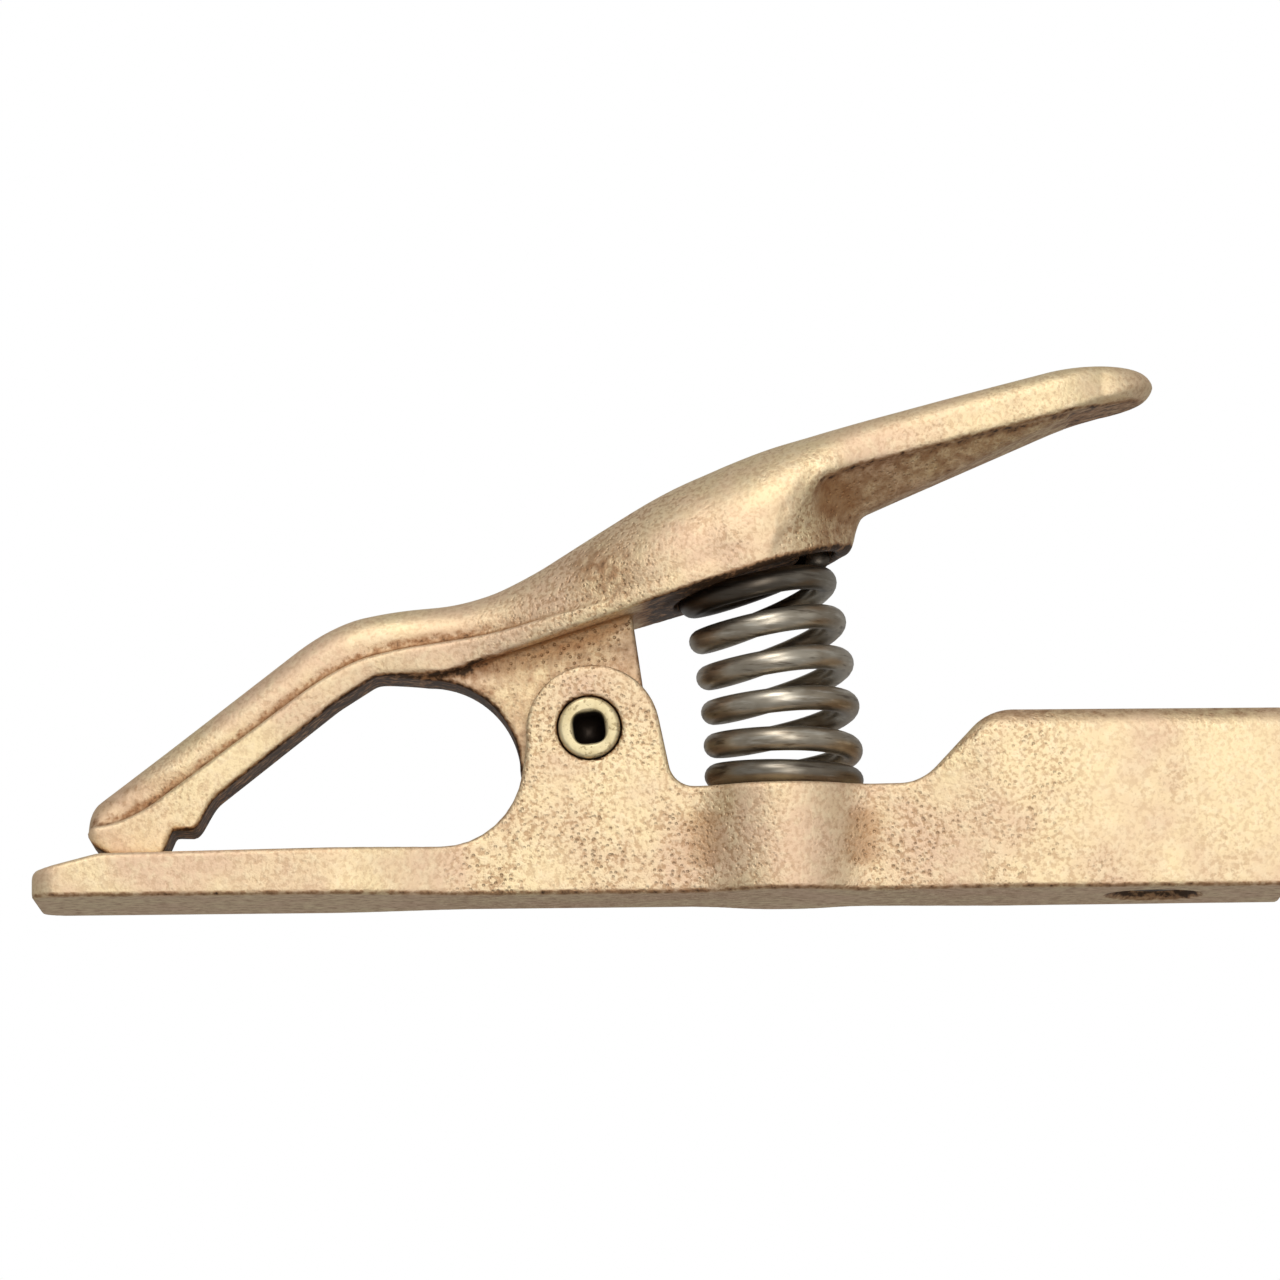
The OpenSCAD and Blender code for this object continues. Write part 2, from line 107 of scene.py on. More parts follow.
def rounded(corners, steps=8):
    """Outline from corners (x, y, radius): an arc of that radius touches both sides of a corner.
    The arc's centre lies on the corner's bisector, radius / sin(half angle) from the corner."""
    corners = [tuple(c) for c in corners]
    points = []
    for i, (x, y, radius) in enumerate(corners):
        p = np.array([x, y], float)
        if radius <= 0:
            points.append(p[None])
            continue
        before = np.array(corners[i - 1][:2], float) - p
        after = np.array(corners[(i + 1) % len(corners)][:2], float) - p
        share = [0.49 if corners[k % len(corners)][2] > 0 else 0.95 for k in (i - 1, i + 1)]
        reach = min(share[0] * np.linalg.norm(before), share[1] * np.linalg.norm(after))
        u, v = before / np.linalg.norm(before), after / np.linalg.norm(after)
        half = np.arccos(np.clip(u @ v, -1, 1)) / 2
        touch = min(radius / np.tan(half), reach)
        r = touch * np.tan(half)
        centre = p + (u + v) / np.linalg.norm(u + v) * r / np.sin(half)
        first, last = p + u * touch - centre, p + v * touch - centre
        a0 = np.arctan2(first[1], first[0])
        turn = (np.arctan2(last[1], last[0]) - a0 + np.pi) % (2 * np.pi) - np.pi
        a = a0 + turn * np.linspace(0, 1, steps + 1)
        points.append(centre + r * np.column_stack([np.cos(a), np.sin(a)]))
    return np.concatenate(points)


def arc(centre, radius, start, end, steps=20):
    """Points of an arc, as corners without a radius; the angles are in degrees."""
    a = np.radians(np.linspace(start, end, steps + 1))
    return [(centre[0] + radius * np.cos(t), centre[1] + radius * np.sin(t), 0) for t in a]


# %% [markdown]
# ## Measuring depth instead of drawing faces
#
# A sheet over two parameters is fine for a rivet or a coil of wire, but a casting is one skin
# whose forms melt into each other, with a fillet at every joint. Such a skin is easier to find
# than to draw. Every form is written as a depth: how far a point lies outside it, negative
# inside. Two depths join with a fillet when the corner between them is replaced by the distance
# to an arc, and the casting's skin is where the joined depth is zero.

# %% Depths and how they join


def outline_depth(x, y, outline):
    """Signed distance to a closed outline: the least distance to any of its sides, made negative
    where a ray towards +x crosses the outline an odd number of times."""
    x, y = np.broadcast_arrays(np.asarray(x, float), np.asarray(y, float))
    least = np.full(x.shape, np.inf)
    inside = np.zeros(x.shape, bool)
    for (ax, ay), (bx, by) in zip(outline, np.roll(outline, -1, axis=0)):
        ex, ey = bx - ax, by - ay
        length2 = ex * ex + ey * ey
        if length2 < 1e-12:
            continue
        t = np.clip(((x - ax) * ex + (y - ay) * ey) / length2, 0, 1)
        least = np.minimum(least, (x - ax - t * ex) ** 2 + (y - ay - t * ey) ** 2)
        if ay != by:
            crosses = (ay > y) != (by > y)
            inside ^= crosses & (x < ax + (y - ay) * ex / ey)
    return np.where(inside, -1, 1) * np.sqrt(least)


def both(a, b, r):
    """Where both forms are: the greater depth, with the edge rounded to radius r."""
    return np.minimum(-r, np.maximum(a, b)) + np.hypot(np.maximum(r + a, 0), np.maximum(r + b, 0))


def either(a, b, r):
    """Where either form is: the lesser depth, with a fillet of radius r in the corner."""
    return np.maximum(r, np.minimum(a, b)) - np.hypot(np.maximum(r - a, 0), np.maximum(r - b, 0))


def cut(a, b, r):
    """Form a with form b taken out of it, and the edge rounded to radius r."""
    return both(a, -b, r)


def ramp(t, start, end):
    """0 before start, 1 after end, and a smooth s-curve between them."""
    t = np.clip((t - start) / (end - start), 0, 1)
    return t * t * (3 - 2 * t)


# %% [markdown]
# ## Wrapping a skin round a depth
#
# The depth is measured on a fine lattice. Each lattice cell with both signs at its corners gets
# one point of the skin, each lattice edge whose ends differ in sign gets one quad between the
# four cells round it, and all points then slide along the slope of the depth until it is zero.
# Everything is done on whole arrays, so a hundred thousand faces take a few seconds.

# %% The skin
LEAST_SLOPE_SQUARED = 0.04


def skin_of(depth, low, high, pitch, slides=4):
    """Points and quads of the surface depth(x, y, z) = 0 inside a box."""
    axes = [np.arange(a, b + pitch, pitch) for a, b in zip(low, high)]
    values = depth(axes[0][:, None, None], axes[1][None, :, None], axes[2][None, None, :])
    values = np.ascontiguousarray(np.broadcast_to(values, [len(a) for a in axes])).copy()
    values[np.abs(values) < 1e-9] = 1e-9
    inside = values < 0
    cells = np.array(values.shape) - 1

    def corner(grid, i, j, k):
        return grid[i:i + cells[0], j:j + cells[1], k:k + cells[2]]

    offsets = [(i, j, k) for i in (0, 1) for j in (0, 1) for k in (0, 1)]
    count = sum(corner(inside, *o).astype(np.int8) for o in offsets)
    active = (count > 0) & (count < 8)
    cell = np.argwhere(active)
    number = np.full(active.shape, -1, np.int64)
    number[active] = np.arange(len(cell))

    total, hits = np.zeros((len(cell), 3)), np.zeros(len(cell))
    for a in offsets:
        for axis in range(3):
            if a[axis]:
                continue
            b = tuple(v + (axis == n) for n, v in enumerate(a))
            va = values[tuple((cell + a).T)]
            vb = values[tuple((cell + b).T)]
            crossing = (va < 0) != (vb < 0)
            share = np.where(crossing, va / np.where(crossing, va - vb, 1), 0)
            spot = np.array(a, float) + share[:, None] * (np.array(b) - np.array(a))
            total += np.where(crossing[:, None], spot, 0)
            hits += crossing
    origin = np.array([a[0] for a in axes])
    points = origin + pitch * (cell + total / hits[:, None])

    quads = []
    for axis in range(3):
        u, v = (axis + 1) % 3, (axis + 2) % 3
        here = np.moveaxis(inside, axis, 0)
        change = np.moveaxis(here[1:] != here[:-1], 0, axis)
        edge = np.argwhere(change)
        fits = (edge[:, u] > 0) & (edge[:, v] > 0)
        fits &= (edge[:, u] < cells[u]) & (edge[:, v] < cells[v])
        edge = edge[fits]
        eu, ev = np.zeros(3, int), np.zeros(3, int)
        eu[u], ev[v] = 1, 1
        ring = np.stack([number[tuple((edge - s).T)] for s in (eu + ev, ev, 0 * eu, eu)], 1)
        outward = inside[tuple(edge.T)]
        ring = np.where(outward[:, None], ring, ring[:, ::-1])
        quads.append(ring)
    quads = np.concatenate(quads)

    for _ in range(slides):
        slope, here = slope_of(depth, points)
        size = np.maximum((slope ** 2).sum(1), LEAST_SLOPE_SQUARED)
        move = -(here / size)[:, None] * slope
        far = np.linalg.norm(move, axis=1) / (0.5 * pitch)
        points = points + move / np.maximum(far, 1)[:, None]
    return points, quads


def slope_of(depth, points, step=0.02):
    """The depth's rate of change along X, Y and Z at each point, and the depth itself."""
    x, y, z = points.T
    slope = np.stack([
        depth(x + step, y, z) - depth(x - step, y, z),
        depth(x, y + step, z) - depth(x, y - step, z),
        depth(x, y, z + step) - depth(x, y, z - step),
    ], 1) / (2 * step)
    return slope, depth(x, y, z)


# %% [markdown]
# ## From points to pieces
#
# All the pieces pass through one helper, which writes the points in metres and shades them
# smooth. A casting also carries measures for its material. Two come from its form: how hollow a
# spot is and how much it is cupped, and the material paints shade there, darker in the hollows and
# brown where cupped. Two depend on the place: how sandy the grain is, which in some places is also
# painted shade, and where painted shade goes under and between parts.

# %% Mesh helpers
CUP_STEP = 5.0
CASTING_SIDE = 16.6


def piece_from(name, points, faces, attributes=None):
    """A mesh object from points in millimetres and equal-sized faces, shaded smooth."""
    mesh = bpy.data.meshes.new(name)
    size = faces.shape[1]
    mesh.vertices.add(len(points))
    mesh.vertices.foreach_set("co", (points * MM).astype(np.float32).ravel())
    mesh.loops.add(faces.size)
    mesh.loops.foreach_set("vertex_index", faces.astype(np.int32).ravel())
    mesh.polygons.add(len(faces))
    mesh.polygons.foreach_set("loop_start", np.arange(0, faces.size, size, dtype=np.int32))
    mesh.polygons.foreach_set("use_smooth", np.ones(len(faces), bool))
    for key, value in (attributes or {}).items():
        layer = mesh.attributes.new(key, "FLOAT", "POINT").data
        layer.foreach_set("value", value.astype(np.float32))
    mesh.update(calc_edges=True)
    mesh.validate()
    piece = bpy.data.objects.new(name, mesh)
    bpy.context.scene.collection.objects.link(piece)
    print(name, len(points), "points", len(faces), "faces", round(time.time() - started, 1), "s")
    return piece


def casting(name, depth, low, high, pitch, grain_and_shade):
    """A casting's skin with the measures that its material reads, two of which paint shade. Hollow
    is found by stepping out along the slope, where less depth than the step means a corner that
    gets painted shade. Cupped is found by stepping sideways, where a point that comes to lie
    inside means a dished place that gets a brown painted shade; the last argument gives sand grain
    and painted shade by place."""
    points, quads = skin_of(depth, low, high, pitch)
    slope, _ = slope_of(depth, points, 0.15)
    out = slope / np.maximum(np.linalg.norm(slope, axis=1), 1e-6)[:, None]
    # Painted shade in corners: the less room outside a point, the darker its colour.
    hollow = 0
    for reach, share in ((0.8, 0.5), (2.4, 0.5)):
        hollow = hollow + share * np.clip(1 - depth(*(points + reach * out).T) / reach, 0, 1)
    sideways = np.cross(out, [0.0, 0.0, 1.0]) + 1e-6
    sideways /= np.linalg.norm(sideways, axis=1)[:, None]
    lengthways = np.cross(out, sideways)
    # Painted shade in dished places, such as the flanks of the boss and the dome's waist.
    cupped = 0
    for a in np.radians([0, 60, 120, 180, 240, 300]):
        step = np.cos(a) * sideways + np.sin(a) * lengthways
        cupped = cupped - np.clip(depth(*(points + CUP_STEP * step).T) / CUP_STEP, -1, 1) / 6
    measures = {"hollow": hollow, "cupped": np.maximum(cupped, 0), **grain_and_shade(*points.T)}
    return piece_from(name, points, quads, measures)


# %% [markdown]
# ## The lower casting, seen from the side
#
# The lower jaw is a flat contact pad, a neck with two ears that carry the rivet, a round seat
# for the spring and a deep tail with the cable socket. Its side outline says most of that. The
# outline is drawn once, with the radius that the pattern has in each corner.

# %% Sizes and side outline of the lower jaw
PIVOT = np.array([-11.0, 26.7])
TIP_X, TAIL_X = -100.0, 100.0
PAD_TOP, SEAT_TOP, TAIL_TOP = 7.0, 17.2, 29.0
BOSS_X = 20.1
NECK_HALF = 10.5
EAR_R, EAR_LEAN, FRONT_LEAN = 10.7, 11.5, 8.0
NECK_TOP = PAD_TOP + 1.0
ear_mid = PIVOT + [0.6, -0.6]
rear = np.radians(EAR_LEAN)
ear_foot = ear_mid + EAR_R * np.array([np.cos(rear), np.sin(rear)])
ear_flank_x = ear_foot[0] + (ear_foot[1] - SEAT_TOP) * np.tan(rear)
front = np.radians(FRONT_LEAN)
front_foot = ear_mid - EAR_R * np.array([np.cos(front), np.sin(front)])

side_outline = rounded([
    (TIP_X, -6, 0),
    (TAIL_X + 6, -6, 0),
    (TAIL_X + 6, TAIL_TOP, 0),
    (52.7, TAIL_TOP, 9),
    (41.7, SEAT_TOP, 8),
    (ear_flank_x, SEAT_TOP, 4),
    *arc(ear_mid, EAR_R, EAR_LEAN, 180 + FRONT_LEAN, 28),
    (front_foot[0] - (front_foot[1] - NECK_TOP) * np.tan(front), NECK_TOP, 13.5),
    (TIP_X + 11, PAD_TOP, 8),
    (TIP_X, 4.2, 1.5),
])
print("side outline of", len(side_outline), "points")

# %% [markdown]
# ## The same casting, seen from above
#
# A pattern has draft: it narrows away from the parting plane, or it wouldn't leave the sand.
# The clamp parts along its base here, so there are two plans, a wider one at the base and a
# slimmer one at the height of the spring seat, and a point between them takes its share of
# both. The hollows beside the round seat run wide at the base, as a moulder's tool leaves them.

# %% Plan outlines of the lower jaw


def blend_arc(half, r, boss_r, side):
    """Arc of radius r from a flank at half width half into the boss, found from the triangle
    between the two centres, which are boss_r + r apart and half + r apart in Y."""
    cx = side * np.sqrt((boss_r + r) ** 2 - (half + r) ** 2)
    meet = np.degrees(np.arctan2(-(half + r), -cx))
    points = arc((BOSS_X + cx, half + r), r, -90, meet, 12)
    return points if side > 0 else points[::-1]


def plan_outline(neck, neck_r, boss, tail, tail_r, wide, end, pad):
    """Half the plan, then its mirror image; the boss is an arc between its two blends. The
    half widths are of neck, tail, the tail's widest place, its end and the pad."""
    to_tail, to_neck = blend_arc(tail, tail_r, boss, 1), blend_arc(neck, neck_r, boss, -1)
    a0 = np.degrees(np.arctan2(to_tail[-1][1], to_tail[-1][0] - BOSS_X))
    a1 = np.degrees(np.arctan2(to_neck[0][1], to_neck[0][0] - BOSS_X))
    half = [
        (TAIL_X + 6, end, 0),
        (54, wide, 30),
        *to_tail,
        *arc((BOSS_X, 0), boss, a0, a1, 24)[1:-1],
        *to_neck,
        (-32, neck, 40),
        (-50, pad, 40),
        (TIP_X, pad, 4.5),
    ]
    return rounded(half + [(x, -y, r) for x, y, r in half[::-1]])


plan_at_base = plan_outline(10.8, 14, 15.85, 12.1, 12, 13.9, 12.6, 14.5)
plan_at_seat = plan_outline(10.45, 9, 15.7, 11.2, 9, 13.5, 12.3, 14.3)
print("plans of", len(plan_at_base), "and", len(plan_at_seat), "points")

# %% [markdown]
# ## Joining the outlines into the lower jaw
#
# Where side and plan meet, the edge gets its radius. The blasted tail is generously round along
# its top and the base stays crisp, so the radius itself varies from place to place. The slot
# between the ears, the stepped rivet hole, the cable socket and the screw hole are then taken
# out, with small radii on their edges, and a low nub goes on the seat to centre the spring.

# %% Depth of the lower jaw
SLOT_HALF, LUG_R, SLOT_GAP = 5.9, 9.4, 0.8
RING_HOLE_R, RING_SINK, SHANK_R = 5.2, 1.4, 4.03
BORE_R, BORE_START, BORE_Z = 7.5, 58.0, 14.4
SCREW_X, SCREW_HOLE_R = 79.0, 6.05


def lower_depth(x, y, z):
    """Depth of the lower jaw: side and plan outlines together, less its holes."""
    side = outline_depth(x, z, side_outline)
    share = np.clip(z / SEAT_TOP, 0, 1.6)
    at_base, at_seat = outline_depth(x, y, plan_at_base), outline_depth(x, y, plan_at_seat)
    plan = at_base + (at_seat - at_base) * share
    edge = 0.8 + 0.1 * ramp(-x, 40, 50) + 3.4 * ramp(x, 42, 58) * ramp(z, 8, 22)
    edge = edge - 0.25 * ramp(z, 24, 27) * ramp(-x, -2, 4)
    body = both(side, plan, edge)
    body = both(body, -z + 0 * x * y, 0.7)
    body = both(body, x - TAIL_X + 0 * y * z, 0.9)
    nub = both(np.hypot(x - BOSS_X, y) - 8.5, z - SEAT_TOP - 1.6, 0.7)
    nub = both(nub, SEAT_TOP - 2 - z, 0.1)
    body = either(body, nub, 0.6)

    from_pivot = np.hypot(x - PIVOT[0], z - PIVOT[1])
    slot_floor = PIVOT[1] - LUG_R - SLOT_GAP
    front = both(x - PIVOT[0], slot_floor - z, 0.2)
    rear = both(PIVOT[1] - z, np.abs(x - PIVOT[0] - 14) - 15, 0.2)
    slot = np.minimum(np.minimum(from_pivot - LUG_R - SLOT_GAP, front), rear)
    body = cut(body, both(slot, np.abs(y) - SLOT_HALF, 0.8), 0.55)

    body = cut(body, from_pivot - SHANK_R + 0 * y, 0.3)
    sink = both(from_pivot - RING_HOLE_R, y + NECK_HALF - RING_SINK, 0.1)
    body = cut(body, sink, 0.3)

    from_bore = np.hypot(y, z - BORE_Z)
    cone = (from_bore - BORE_R) * 0.45 + (BORE_START - x) * 0.89
    body = cut(body, both(from_bore - BORE_R, cone, 0.3), 0.9)
    from_screw = np.hypot(x - SCREW_X, y)
    shaft = both(from_screw - SCREW_HOLE_R, z - BORE_Z, 0.1)
    flare = (from_screw - SCREW_HOLE_R - 1.9 + z) * 0.707
    body = cut(body, np.minimum(shaft, both(flare, z - 3, 0.1)), 0.35)
    return body


def lower_grain_and_shade(x, y, z):
    """The pad, the boss and the tail's end are worn smooth; the neck and the ramp keep their sand
    grain, and the boss's smoother front is partly a painted highlight. Painted shade lies under
    the base and just above its edge, in the screw's countersink, along the tail's top and in the
    gap round the rivet."""
    sand_and_shade = 0.2 + 0.75 * ramp(x, -46, -26) * (1 - 0.8 * ramp(x, 30, 96))
    # Less grain on the boss makes its front brighter, partly a painted highlight.
    sand_and_shade = sand_and_shade * (1 - 0.7 * np.exp(-((x - BOSS_X - 2) / 8) ** 2))
    # Painted shade in the hairline gap round the rivet's rolled ring.
    rivet_gap_shade = ramp(RING_HOLE_R + 0.12 - np.hypot(x - PIVOT[0], z - PIVOT[1]), 0, 0.1)
    rivet_gap_shade = rivet_gap_shade * ramp(y, 0.05 - NECK_HALF, 0.35 - NECK_HALF)
    from_screw = np.hypot(x - SCREW_X, y)
    # Each place below is painted shade: under the base, over its edge, in the countersink, along
    # the tail's top and round the rivet.
    places = [
        0.24 * (1 - ramp(z, 0.05, 0.3)),
        0.55 * ramp(z, 0.02, 0.15) * (1 - ramp(z, 0.4, 0.9)),
        0.9 * ramp(SCREW_HOLE_R + 2.2 - from_screw, 0, 0.4) * ramp(z, 0.2, 0.7) * (z < BORE_Z),
        0.26 * ramp(z, 25.2, 28) * ramp(x, 40, 50),
        rivet_gap_shade,
    ]
    return {"sand_and_shade": sand_and_shade, "painted_shade": np.max(places, axis=0)}


lower_jaw = casting(
    "lower_casting", lower_depth, (TIP_X - 1, -CASTING_SIDE, -1),
    (TAIL_X + 1, CASTING_SIDE, 38.6), 0.55, lower_grain_and_shade)

# %% [markdown]
# ## The upper casting as a set of lines
#
# The upper jaw is one long lever: a contact tooth, a ribbed arm, a cap over the spring and a
# thumb handle. It is drawn the way a boat is, by lines along its length: the top, the shoulder
# where the bead meets the flange, the underside, and the half widths of flange, underside and
# bead. Each line is a few straight stretches that are then averaged over a short reach, which
# turns every kink into a curve.

# %% Lines of the upper jaw
NOSE, BEAD_END, HANDLE_END = -80.2, -82.8, 91.4
TOOTH_Z = 7.3 - PIVOT[1]
TILT = np.radians(17.5)
ALONG_RIM = np.array([np.cos(TILT), np.sin(TILT)])
OUT_OF_RIM = np.array([-np.sin(TILT), np.cos(TILT)])
RIM_REACH, RIM_RISE = 33.0, 15.5
rim_mid = RIM_REACH * ALONG_RIM + RIM_RISE * OUT_OF_RIM
CREST = rim_mid[0]
ARM_LOW = 9.1
stations = np.arange(NOSE - 8, HANDLE_END + 8, 0.25)


def line(points, reach):
    """A line along the lever: straight stretches, averaged over reach to each side."""
    points = np.array(points, float)
    shifts = reach * np.linspace(-1, 1, 9)
    return np.mean([np.interp(stations + s, *points.T) for s in shifts], axis=0)


def rim_at(x):
    """Height of the cap's sloping rim."""
    return rim_mid[1] + (x - rim_mid[0]) * np.tan(TILT)


lines = {
    "top": line([(NOSE - 4, TOOTH_Z + 4.6), (NOSE + 2, TOOTH_Z + 9.2), (-41.5, 18), (-32.5, 20.2),
                 (-19, 21.4), (-11, 24.7), (CREST - 15, 38.6), (CREST, 44.8), (79.2, 58.5),
                 (95.2, 57.5)], 5),
    "shoulder": line([(NOSE, TOOTH_Z + 4.6), (NOSE + 6, TOOTH_Z + 5), (-40.5, 10.5), (-33.5, 13),
                      (-14, 15.8), (-4, 18.6), (8, 21), (CREST - 6, 26), (CREST, 28),
                      (CREST + 15, 40.5), (HANDLE_END, 51.5)], 5),
    "under": line([(NOSE, TOOTH_Z + 2.4), (NOSE + 3.6, TOOTH_Z), (NOSE + 12.5, TOOTH_Z),
                   (NOSE + 13.1, TOOTH_Z + 4.1), (NOSE + 17.3, TOOTH_Z + 4.0),
                   (NOSE + 20.1, TOOTH_Z + 9), (-40.3, 5.1), (-34, ARM_LOW),
                   (-23, rim_at(-23) + 0.4), (CREST + 2.5, rim_at(CREST + 2.5) + 0.4),
                   (31.6, 31.6), (37.8, 39.4), (CREST + 16, 41.4), (79.2, 50.9),
                   (95.2, 54.1)], 0.8),
    "flange": line([(NOSE, 7.3), (-50.5, 7.3), (-37.5, 7.2), (-19, 7.8), (-1, 12.3),
                    (CREST - 12, 15.3), (CREST + 4, 15.7), (CREST + 12, 13.2), (CREST + 19, 11.6),
                    (77.2, 9.5), (HANDLE_END, 8.5)], 4),
    "draft": line([(-41.5, 0.6), (-1, 0.2), (CREST + 9, 0.2), (CREST + 16, 0.4)], 5),
    "bead": line([(-50, 4.9), (-23, 4.8), (-12, 6.6), (-3, 10.5), (CREST - 14, 15.3),
                  (CREST + 4, 15.7), (CREST + 12, 13.2), (CREST + 19, 11.6), (77.2, 9.5),
                  (HANDLE_END, 8.5)], 4),
    "crown": line([(NOSE, 3.4), (NOSE + 12, 4.6), (-30, 4.6), (-14, 6), (-2, 9.5),
                   (CREST - 12, 13.5), (CREST + 2, 12), (CREST + 16, 5.2), (60, 3.8),
                   (HANDLE_END, 3.6)], 5),
}
slopes = {key: np.gradient(value, stations) for key, value in lines.items()}
print("lines of the upper jaw:", ", ".join(lines))

# %% [markdown]
# ## The lever's section
#
# At every place along the lever the section is a flange with drafted sides, and a bead on top
# of it. On the arm the bead is narrow and round, and a fillet joins it to the flange. Towards
# the cap it widens until it swallows the flange and becomes the dome, and on the handle it is
# the crowned top over a straight side band. One formula covers all three, because only the
# lines change.

# %% Depth of the lever
BEAD_END_R, HANDLE_END_R = 4.9, 8.6


def lever_depth(x, y, z):
    """Depth of the long lever, about the pivot: flange and bead joined, rounded at both ends."""
    def at(key):
        return np.interp(x, stations, lines[key])

    def across(value, key):
        return value / np.sqrt(1 + np.interp(x, stations, slopes[key]) ** 2)

    half = np.abs(y)
    top, shoulder, under = at("top"), at("shoulder"), at("under")
    flange, bead = at("flange"), at("bead")
    foot = flange - at("draft")
    rise = np.clip((z - under) / np.maximum(shoulder - under, 2.5), 0, 1)
    side = across(half - (foot + (flange - foot) * rise), "flange")
    lid = across(z - np.maximum(shoulder, under + 2.2), "shoulder")
    plate = both(side, lid, 0.9)
    before = np.maximum(BEAD_END + BEAD_END_R - x, 0)
    ridge = both(across(np.hypot(half, 1.15 * before) - bead, "bead"), across(z - top, "top"),
                 at("crown"))
    lever = either(plate, ridge, 0.9)
    lever = both(lever, across(under - z, "under"), 0.8 + 2.2 * np.exp(-((x - 34) / 4) ** 2))
    past = x - HANDLE_END + HANDLE_END_R
    end = np.hypot(np.maximum(past, 0), half) - HANDLE_END_R + 0.5 * np.minimum(past, 0)
    lever = both(lever, end + 0 * z, 2.8)
    return both(lever, NOSE - x + 0 * y * z, 1.6)


# %% [markdown]
# ## Cap, lug and web
#
# Under the dome a round skirt, square to the sloping rim, holds the top of the spring. A lug
# goes down between the ears of the lower jaw, with the eye for the rivet and a round hollow
# that continues the throat. A thin web stiffens the handle. Each joins the lever with a fillet
# of its own, the largest where the cap runs into the handle.

# %% Depth of the upper jaw
CAP_R, RECESS_R, RECESS_DEEP, NUB_R = 15.85, 13.7, 2.6, 8.0
SKIRT_HIGH, SKIRT_ROUND = 13, 8
LUG_HALF, EYE_R = 5.5, 4.08
THROAT_R = 14.6
throat_x = 0.6 - EAR_R - THROAT_R - 1
throat_mid = np.array([throat_x, ARM_LOW - 0.6 - THROAT_R])
lug_top = rim_at(0) + 3
lug_outline = rounded([
    (throat_x + THROAT_R + 0.4, -6.6, 0), (0, -9.4, 0), (9.4, 1.5, 2), (6.8, lug_top + 1, 0),
    (throat_x - 7, ARM_LOW + 3, 0), (throat_x - 7, ARM_LOW + 0.4, 0),
    (throat_x, throat_mid[1] + THROAT_R, 0), (throat_x, 0, 0),
])
web_x = rim_mid[0] + CAP_R * np.cos(TILT) - 3
web_z = rim_at(rim_mid[0] + CAP_R) + 1
web_outline = rounded([
    (web_x - 6, web_z + 1, 0), (web_x + 3, web_z + 0.8, 1), (CREST + 17.5, 35.2, 3),
    (77.2, 50.0, 0), (77.2, 52.6, 0), (CREST + 14, 43.2, 0), (web_x - 6, web_z + 9, 0),
])


def in_cap(x, y, z):
    """Distance from the cap's axis, and height over its rim along that axis."""
    across_rim = (x - rim_mid[0]) * np.cos(TILT) + (z - rim_mid[1]) * np.sin(TILT)
    along_cap = (z - rim_mid[1]) * np.cos(TILT) - (x - rim_mid[0]) * np.sin(TILT)
    return np.hypot(across_rim, y), along_cap


def upper_depth(x, y, z):
    """Depth of the upper jaw, in the frame of the whole clamp."""
    x, z = x - PIVOT[0], z - PIVOT[1]
    body = lever_depth(x, y, z)

    out, along_cap = in_cap(x, y, z)
    skirt = both(out - CAP_R, along_cap - SKIRT_HIGH, SKIRT_ROUND)
    skirt = both(skirt, -along_cap, 0.7)
    below = np.maximum(np.interp(x, stations, lines["under"]) - z, 0)
    keel = np.maximum(np.interp(x, stations, lines["flange"]) - 1.8 - 1.1 * below, 2.2)
    web = both(outline_depth(x, z, web_outline), 0.67 * (np.abs(y) - keel), 1.2)
    body = either(body, either(web, skirt, 4.0), 0.9)

    lug = np.minimum(np.hypot(x, z) - LUG_R, outline_depth(x, z, lug_outline))
    lug = np.maximum(lug, THROAT_R - np.hypot(x - throat_mid[0], z - throat_mid[1]))
    body = either(body, both(lug, np.abs(y) - LUG_HALF, 0.6), 0.9)
    body = cut(body, np.hypot(x, z) - EYE_R + 0 * y, 0.4)

    recess = both(out - RECESS_R, along_cap - RECESS_DEEP, 0.8)
    knob = both(out - NUB_R, RECESS_DEEP - 1.6 - along_cap, 0.6)
    return cut(body, cut(recess, knob, 0.5), 0.5)


